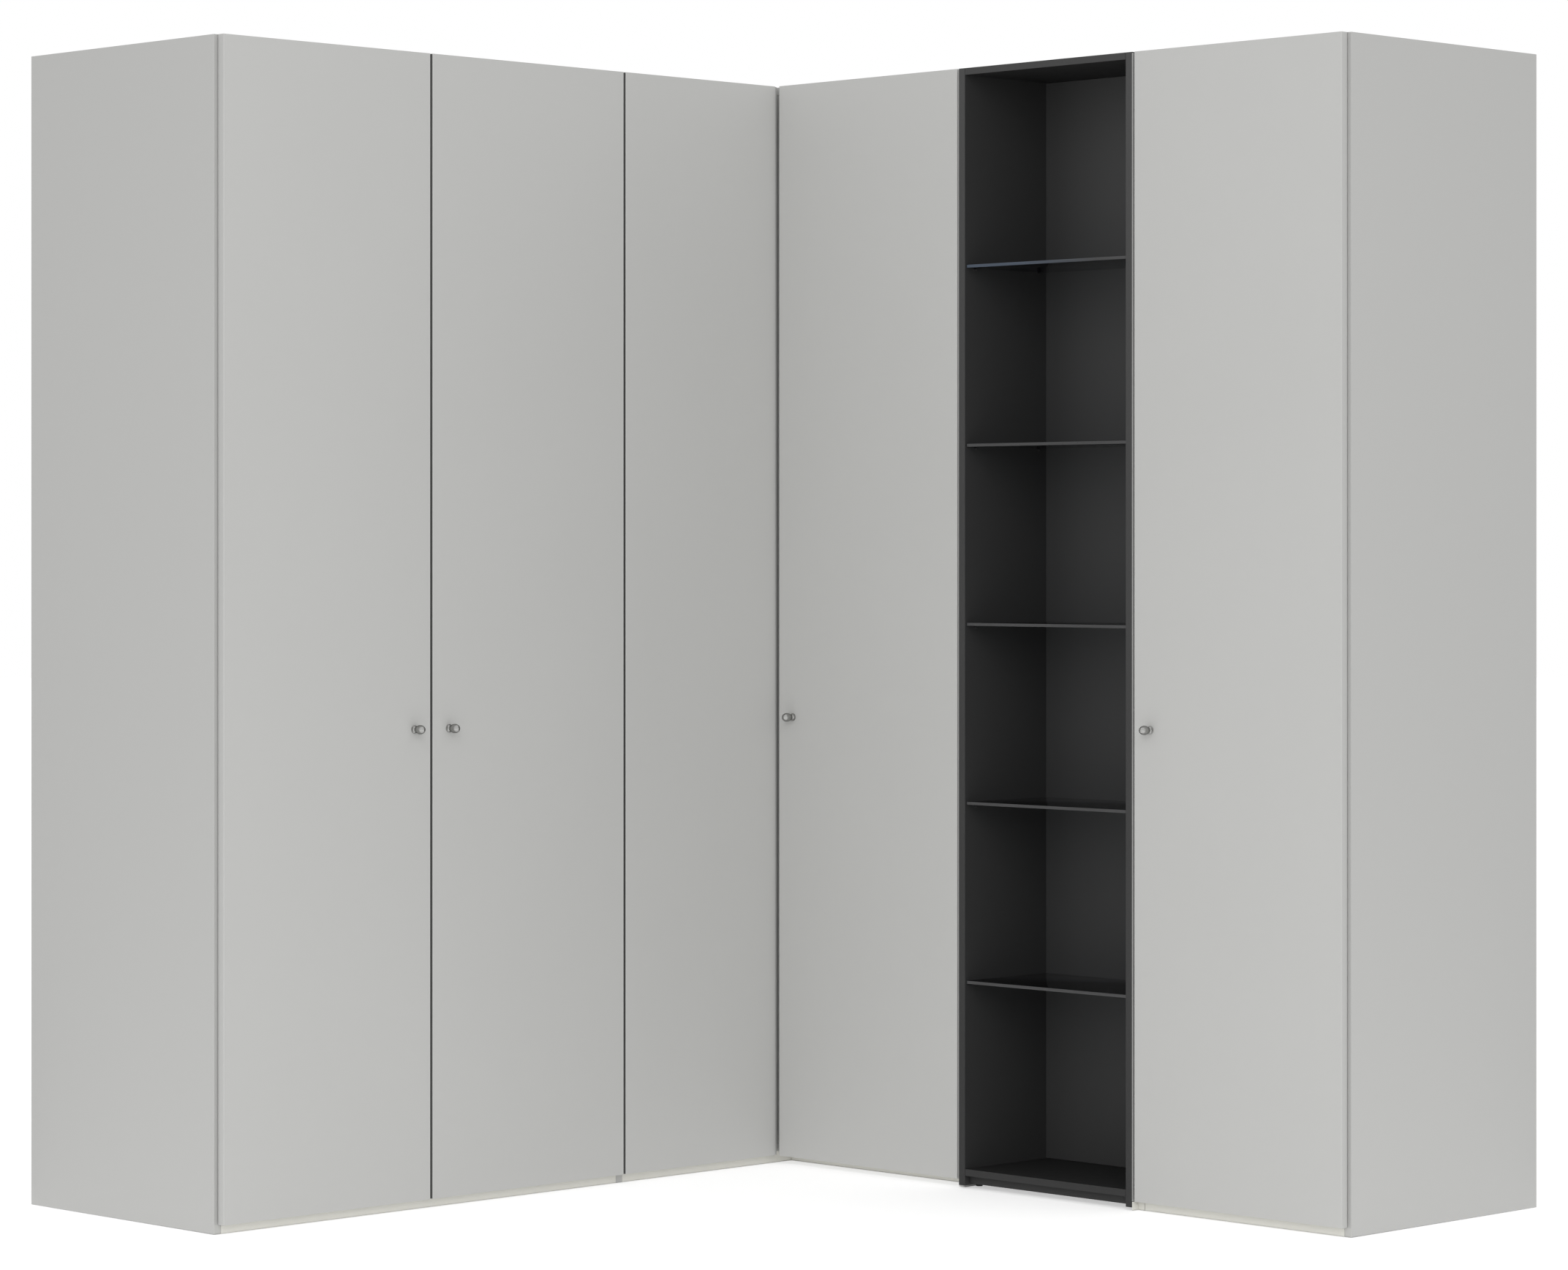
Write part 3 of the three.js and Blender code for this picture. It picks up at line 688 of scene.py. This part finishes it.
# Knobs: the profile of base and neck is radius and distance from the door
KNOB_INSET = 40.0
KNOB_HEIGHT = 897.0
KNOB_NECK_RADIUS = 3.8
KNOB_BASE = ((7.5, 0.0), (7.5, 2.1), (7.4, 2.35), (7.1, 2.5))
KNOB_NECK = ((7.1, 2.5), (KNOB_NECK_RADIUS, 2.5), (KNOB_NECK_RADIUS, 6.4))
KNOB_HEAD_RADIUS = 8.5
KNOB_HEAD_MIDDLE = 17.4
KNOB_HEAD_HALF = 11.5
KNOB_HEAD_STEPS = 22
KNOB_TIP_RADIUS = 0.1
KNOB_SCREW_HEAD = (4.0, 1.3)


def knob_profile():
    """Flat base, short neck and egg-shaped head, away from the door."""
    profile = [*KNOB_BASE, *bend(*KNOB_NECK)]
    first = math.asin(KNOB_NECK_RADIUS / KNOB_HEAD_RADIUS)
    for index in range(KNOB_HEAD_STEPS):
        angle = first + (math.pi - first) * index / KNOB_HEAD_STEPS
        along = KNOB_HEAD_MIDDLE - KNOB_HEAD_HALF * math.cos(angle)
        profile.append((KNOB_HEAD_RADIUS * math.sin(angle), along))
    profile.append((KNOB_TIP_RADIUS, KNOB_HEAD_MIDDLE + KNOB_HEAD_HALF))
    return profile


def make_knobs():
    for door, (body, wing, side) in DOORS.items():
        knob_x = edge_x(door, wing, -side) + side * KNOB_INSET
        place = wing_frame(wing, knob_x, DOOR_FRONT, KNOB_HEIGHT)
        knob = bmesh.new()
        turned(knob, knob_profile(), place @ AGAINST_Y, ROUND_SIDES)
        piece = add_piece(f"{door}_turned_knob", knob, "knob_metal", body)
        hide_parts(f"{door}_knob")
        fixing = bmesh.new()
        back = wing_frame(wing, knob_x, DOOR_BACK, KNOB_HEIGHT)
        screw(fixing, *KNOB_SCREW_HEAD, back @ ALONG_Y)
        add_piece(f"{door}_knob_screw", fixing, "steel", body)


# Strips in the gaps of the left wing's fronts, painted shade: dark ones where the gaps fall dark, and a
# grey one at the inner corner that narrows the gap and stands for the shade beside it. Columns: name,
# body, node, side, reach and finish
SHADE_STRIPS = (
    ("left_unit_door_2_shade_strip", "left_door_2", "left_unit_door_2", -1, 4.3, "grey_seal"),
    ("corner_unit_fixed_front_shade_strip", CARCASS, "corner_unit_fixed_front", -1, 4.3, "grey_seal"),
    ("corner_unit_inner_corner_shade_strip", CARCASS, "corner_unit_fixed_front", 1, 3.6, "spacer_strip"),
)
SHADE_STRIP_FRONT = -17.2
SHADE_STRIP_BACK = -4.0
SHADE_STRIP_ROOT = 1.2
SHADE_STRIP_WEB = 1.6
SHADE_STRIP_WEB_DEPTH = 3
SHADE_STRIP_TIP_DEPTH = 1.4
SHADE_STRIP_END_GAP = 1
SHADE_STRIP_RIM = 0.3


def shade_strip_outline(reach):
    """Section of a strip: a thin web along the edge of a board and a tip across the gap."""
    root = [(SUNK, SHADE_STRIP_BACK), (SHADE_STRIP_ROOT, SHADE_STRIP_BACK), (SHADE_STRIP_WEB, SHADE_STRIP_FRONT + SHADE_STRIP_WEB_DEPTH)]
    return root + [(reach, SHADE_STRIP_FRONT + SHADE_STRIP_TIP_DEPTH), (reach, SHADE_STRIP_FRONT), (SUNK, SHADE_STRIP_FRONT)]


def make_shade_strips():
    for name, body, node, side, reach, finish in SHADE_STRIPS:
        low, high = wing_box(node, LEFT_WING)
        place = wing_frame(LEFT_WING, edge_x(node, LEFT_WING, side), 0, 0, side)
        form = bmesh.new()
        slab(form, shade_strip_outline(reach), low.z + SHADE_STRIP_END_GAP, high.z - SHADE_STRIP_END_GAP, SHADE_STRIP_RIM, place)
        add_piece(name, form, "black_plastic", body, finish)


# Light grey strips on both outer faces of the shelf unit, their grey darker than the carcass board with
# painted shade for the gaps, and the end of the right plinth beside it
SPACER_THICKNESS = 1.1
SPACER_FACES = ((1074.5, -1), (1516.5, 1))
SPACER_FRONT = -18.0
SPACER_BACK = -13.5
SPACER_BOTTOM = 17.5
SPACER_TOP = 2158.0
SPACER_SINK = 0.1
PLINTH_FRONT = -17.8
PLINTH_BOTTOM = 0.3
PLINTH_TOP = 16.5
PLINTH_THICKNESS = 0.8
PLINTH_GAP = 0.1
INNER_SIDE_THICKNESS = 16.0
STRIP_RIM = 0.15


def add_box(form, low, high, place):
    outline = [(low[0], low[1]), (high[0], low[1]), (high[0], high[1]), (low[0], high[1])]
    slab(form, outline, low[2], high[2], STRIP_RIM, place)


def make_spacers():
    form = bmesh.new()
    for face, direction in SPACER_FACES:
        place = wing_frame(RIGHT_WING, face, 0, 0, direction)
        low = (-SPACER_SINK, SPACER_FRONT, SPACER_BOTTOM)
        add_box(form, low, (SPACER_THICKNESS, SPACER_BACK, SPACER_TOP), place)
    add_piece("shelf_unit_spacers", form, "carcass_board", CARCASS, "spacer_strip")


def make_plinth_return():
    """Thin end beside the shelf unit, and the plate behind it over the foot of the inner side."""
    form = bmesh.new()
    right_face = SPACER_FACES[1][0]
    place = wing_frame(RIGHT_WING, right_face, 0, 0)
    low = (PLINTH_GAP, PLINTH_FRONT, PLINTH_BOTTOM)
    add_box(form, low, (SPACER_THICKNESS, -PLINTH_GAP, PLINTH_TOP), place)
    low = (PLINTH_GAP, -PLINTH_GAP - PLINTH_THICKNESS, PLINTH_BOTTOM)
    add_box(form, low, (INNER_SIDE_THICKNESS, -PLINTH_GAP, PLINTH_TOP), place)
    # In the plinth board, whose lightness is painted light
    add_piece("right_plinth_return", form, "carcass_board", CARCASS, "plinth_board")


# Small white stops on the backs of the doors, near their free corners
STOP_INSET = 30.0
STOP_EDGE = 8.0
STOP_BOTTOM_EDGE = 13.5
STOP_PROFILE = ((4.2, 0.0), (4.1, 0.6), (3.3, 1.2), (1.8, 1.45), (0.2, 1.5))


def make_stops():
    for door, (body, wing, side) in DOORS.items():
        low, high = wing_box(door, wing)
        stop_x = edge_x(door, wing, -side) + side * STOP_INSET
        form = bmesh.new()
        for height in (low.z + STOP_BOTTOM_EDGE, high.z - STOP_EDGE):
            turned(form, STOP_PROFILE, wing_frame(wing, stop_x, DOOR_BACK, height) @ ALONG_Y)
        add_piece(f"{door}_stops", form, "black_plastic", body, "white_plastic")


# Panes of the open shelf unit, on black pins; faces less level than PANE_LEVEL are ground edge
PANE_COUNT = 5
PANE_CORNER = 3.0
PANE_RIM = 0.8
PANE_LEVEL = 0.9
SIDE_FACES = (1090.5, 1500.5)
PANE_PIN_DEPTHS = (10.0, 192.0)

# Shelf pins and bored holes: radius and distance from the board's face
PIN_DROP = 2.8
PIN_COLLAR = ((3.6, SUNK), (3.6, 0.4), (3.3, 0.6), (2.6, 0.7))
PIN_PROFILE = (*PIN_COLLAR, (2.6, 5.8), (2.2, 6.2), (0.3, 6.2))
HOLE_PITCH = 32.0
HOLE_PROFILE = ((2.5, SUNK), (2.5, 0.03), (2.2, 0.06), (0.2, 0.02))


def make_panes():
    for index in range(PANE_COUNT):
        node = f"glass_shelf_{index + 1}"
        low, high = wing_box(node, RIGHT_WING)
        form = bmesh.new()
        outline = rounded_box(low.x, low.y, high.x, high.y, PANE_CORNER)
        slab(form, outline, low.z, high.z, PANE_RIM, wing_frame(RIGHT_WING, 0, 0, 0))
        pane = add_piece(f"{node}_pane", form, "smoked_glass", CARCASS)
        pane.data.materials.append(MATERIALS["ground_edge"])
        for face in pane.data.polygons:
            face.material_index = 1 if abs(face.normal.z) < PANE_LEVEL else 0
        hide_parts(node)


def add_pin(form, place):
    """Shelf pin with its collar, along local x."""
    turned(form, PIN_PROFILE, place @ ALONG_X)


def add_holes(form, wing, face, direction, depth, heights):
    """Row of bored holes for other shelf heights, shown as thin dark discs."""
    for height in heights:
        place = wing_frame(wing, face, depth, height, direction)
        turned(form, HOLE_PROFILE, place @ ALONG_X, HOLE_SIDES)


def make_pins():
    glass_pins = bmesh.new()
    for index in range(PANE_COUNT):
        height = wing_box(f"glass_shelf_{index + 1}", RIGHT_WING)[0].z - PIN_DROP
        for face, direction in zip(SIDE_FACES, (1, -1)):
            for depth in PANE_PIN_DEPTHS:
                add_pin(glass_pins, wing_frame(RIGHT_WING, face, depth, height, direction))
    add_piece("glass_shelf_pins", glass_pins, "steel", CARCASS, "black_plastic")


# Hat shelves: node, wing, left face, right face
HAT_SHELVES = (
    ("left_unit_hat_shelf", LEFT_WING, 16.0, 985.0),
    ("right_unit_hat_shelf", RIGHT_WING, 1532.5, 2004.0),
    ("corner_unit_hat_shelf", RIGHT_WING, None, 1058.5),
    ("corner_unit_hat_shelf", LEFT_WING, 1001.0, None),
)
HAT_PIN_DEPTHS = (55.0, 490.0)
HOLE_STEPS = (-3, -2, -1, 1, 2, 3)


def make_hat_shelf_pins():
    pins = bmesh.new()
    holes = bmesh.new()
    for node, wing, left, right in HAT_SHELVES:
        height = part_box(node)[0].z / MM - PIN_DROP
        rows = [height + step * HOLE_PITCH for step in HOLE_STEPS]
        for face, direction in ((left, 1), (right, -1)):
            if face is None:
                continue
            for depth in HAT_PIN_DEPTHS:
                add_pin(pins, wing_frame(wing, face, depth, height, direction))
                add_holes(holes, wing, face, direction, depth, rows)
    add_piece("hat_shelf_pins", pins, "steel", CARCASS)
    add_piece("side_holes", holes, "carcass_board", CARCASS, "shadow_hole")


# Rail flanges: rail node, wing, whether it has a flange at its left and right end
RAILS = (
    ("left_unit_rail", LEFT_WING, True, True),
    ("corner_unit_rail", RIGHT_WING, False, True),
    ("right_unit_rail", RIGHT_WING, True, True),
)
RAIL_DEPTH = 277.5
RAIL_HEIGHT = 1730.0
RAIL_FLANGE = stadium(0, 0, 29.0, 11.5)
RAIL_FLANGE_BACK = 0.2
RAIL_FLANGE_FACE = 2.2
RAIL_FLANGE_RIM = 0.5
RAIL_SCREW = 23.0
RAIL_SCREW_HEAD = (3.4, 1.2)


def make_rail_flanges():
    for node, wing, left, right in RAILS:
        low, high = wing_box(node, wing)
        form = bmesh.new()
        ends = ((left, low.x - JOINT_GAP, 1), (right, high.x + JOINT_GAP, -1))
        for wanted, face, direction in ends:
            if not wanted:
                continue
            place = wing_frame(wing, face, RAIL_DEPTH, RAIL_HEIGHT, direction)
            slab(form, RAIL_FLANGE, RAIL_FLANGE_BACK, RAIL_FLANGE_FACE, RAIL_FLANGE_RIM, place @ ALONG_X)
            for way in (-1, 1):
                spot = at(RAIL_FLANGE_FACE, 0, way * RAIL_SCREW)
                screw(form, *RAIL_SCREW_HEAD, place @ spot @ ALONG_X)
        add_piece(f"{node}_flanges", form, "steel", CARCASS)


# Caps over the fittings that join the boards: wing, x places
CAP_ROWS = (
    (LEFT_WING, (50.0, 951.0, 1035.0)),
    (RIGHT_WING, (1024.5, 1566.5, 1970.0)),
)
CAP_DEPTHS = (60.0, 490.0)
CAP_PROFILE = ((9.0, SUNK), (9.0, 0.5), (8.6, 0.8), (6.0, 0.8), (5.6, 0.5), (0.3, 0.5))
FLOOR_LEVEL = 39.0
CEILING_LEVEL = 2144.0
FACING_DOWN = Matrix.Rotation(math.pi, 4, "X")


def make_caps():
    form = bmesh.new()
    for wing, places in CAP_ROWS:
        for x in places:
            for depth in CAP_DEPTHS:
                turned(form, CAP_PROFILE, wing_frame(wing, x, depth, FLOOR_LEVEL))
                turned(form, CAP_PROFILE, wing_frame(wing, x, depth, CEILING_LEVEL) @ FACING_DOWN)
    add_piece("fitting_caps", form, "carcass_board", CARCASS, "white_plastic")


# Rounding of the CAD boards, in m
WELD_DISTANCE = 0.00001
BOARD_ROUND = 0.0006
BOARD_EDGE_ANGLE = math.radians(40)

# Nodes with a finish of their own: the outer sides with painted shade on their front edges, the dark
# unit's back with painted light, and its top and bottom with painted shade
FINISH_OF_NODE = {
    "left_unit_outer_side": "left_side_board",
    "right_unit_outer_side": "right_side_board",
    "shelf_unit_back": "graphite_back",
    "shelf_unit_top": "graphite_shelf",
    "shelf_unit_bottom": "graphite_shelf",
}


def soften_edges():
    """A small round on the edges of the CAD boards."""
    for node in nodes.values():
        weld = node.modifiers.new("weld", "WELD")
        weld.merge_threshold = WELD_DISTANCE
        bevel = node.modifiers.new("bevel", "BEVEL")
        bevel.width = BOARD_ROUND
        bevel.segments = 2
        bevel.limit_method = "ANGLE"
        bevel.angle_limit = BOARD_EDGE_ANGLE


def dress_nodes():
    for entry in record["subparts"]:
        name = entry["node"]
        finish = entry["material_slot"]
        # Plinths take a warmer copy of the carcass board, made lighter with painted light against the
        # shade under the doors
        if "plinth" in name and finish == "carcass_board":
            finish = "plinth_board"
        finish = FINISH_OF_NODE.get(name, finish)
        nodes[name].data.materials.clear()
        nodes[name].data.materials.append(MATERIALS[finish])


# Floor and world: the glow and the white are for what looks at them straight or by reflection
FLOOR_HALF = 30.0
FLOOR_HEIGHT = -0.0005
FLOOR_COLOR = (0.8, 0.8, 0.8)
FLOOR_ROUGHNESS = 0.9
FLOOR_GLOW = 0.5
WORLD_LIGHT = 0.78
WORLD_WHITE = 1.0

# Lights: name, place, what it points at, width, height, radiance
LIGHTS = (
    ("front_light", (4.0, -4.0, 3.4), (0, 0, 1.0), 4.0, 4.0, 1.9),
    ("floor_light", (0.55, -0.55, -0.0003), (0.55, -0.55, 1.0), 3.2, 3.2, 0.36),
    ("plinth_light", (-0.185, 0.427, 0.008), (-0.185, 1.0, 0.008), 0.48, 0.014, 0.35),
)


def seen_directly(tree):
    """1 for rays from the camera, and for what metal and glass show."""
    path = tree.nodes.new("ShaderNodeLightPath")
    seen = path.outputs["Is Camera Ray"]
    for ray in ("Is Glossy Ray", "Is Transmission Ray"):
        joined = tree.nodes.new("ShaderNodeMath")
        joined.operation = "MAXIMUM"
        tree.links.new(seen, joined.inputs[0])
        tree.links.new(path.outputs[ray], joined.inputs[1])
        seen = joined.outputs[0]
    return seen


def make_stage():
    mesh = bpy.data.meshes.new("floor")
    corners = [(-1, -1), (1, -1), (1, 1), (-1, 1)]
    vertices = [(x * FLOOR_HALF, y * FLOOR_HALF, FLOOR_HEIGHT) for x, y in corners]
    mesh.from_pydata(vertices, [], [(0, 1, 2, 3)])
    floor = bpy.data.objects.new("floor", mesh)
    bpy.context.scene.collection.objects.link(floor)
    finish = Finish("floor", FLOOR_COLOR, FLOOR_ROUGHNESS)
    finish.set("Specular IOR Level", 0.0)
    glow = finish.ramp(seen_directly(finish.tree), low=0.0, high=FLOOR_GLOW)
    finish.set("Emission Color", (1, 1, 1, 1))
    finish.link(glow, finish.shader.inputs["Emission Strength"])
    mesh.materials.append(finish.material)


def make_world():
    world = bpy.data.worlds.new("world")
    bpy.context.scene.world = world
    world.use_nodes = True
    tree = world.node_tree
    background = tree.nodes["Background"]
    background.inputs["Color"].default_value = (1, 1, 1, 1)
    strength = tree.nodes.new("ShaderNodeMapRange")
    strength.inputs["To Min"].default_value = WORLD_LIGHT
    strength.inputs["To Max"].default_value = WORLD_WHITE
    tree.links.new(seen_directly(tree), strength.inputs["Value"])
    tree.links.new(strength.outputs["Result"], background.inputs["Strength"])


def make_light(name, place, target, width, height, radiance):
    """Soft light that neither the camera nor a gloss shows."""
    data = bpy.data.lights.new(name, "AREA")
    data.shape = "RECTANGLE"
    data.size = width
    data.size_y = height
    data.energy = radiance * math.pi * width * height
    light = bpy.data.objects.new(name, data)
    light.location = place
    aim = Vector(target) - Vector(place)
    light.rotation_euler = aim.to_track_quat("-Z", "Y").to_euler()
    light.visible_camera = False
    light.visible_glossy = False
    bpy.context.scene.collection.objects.link(light)


def make_lights():
    for row in LIGHTS:
        make_light(*row)


make_camera()
make_stage()
make_world()
make_lights()
dress_nodes()
soften_edges()
make_hinges()
make_knobs()
make_shade_strips()
make_spacers()
make_plinth_return()
make_stops()
make_panes()
make_pins()
make_hat_shelf_pins()
make_rail_flanges()
make_caps()

bpy.context.scene.view_settings.view_transform = "Standard"
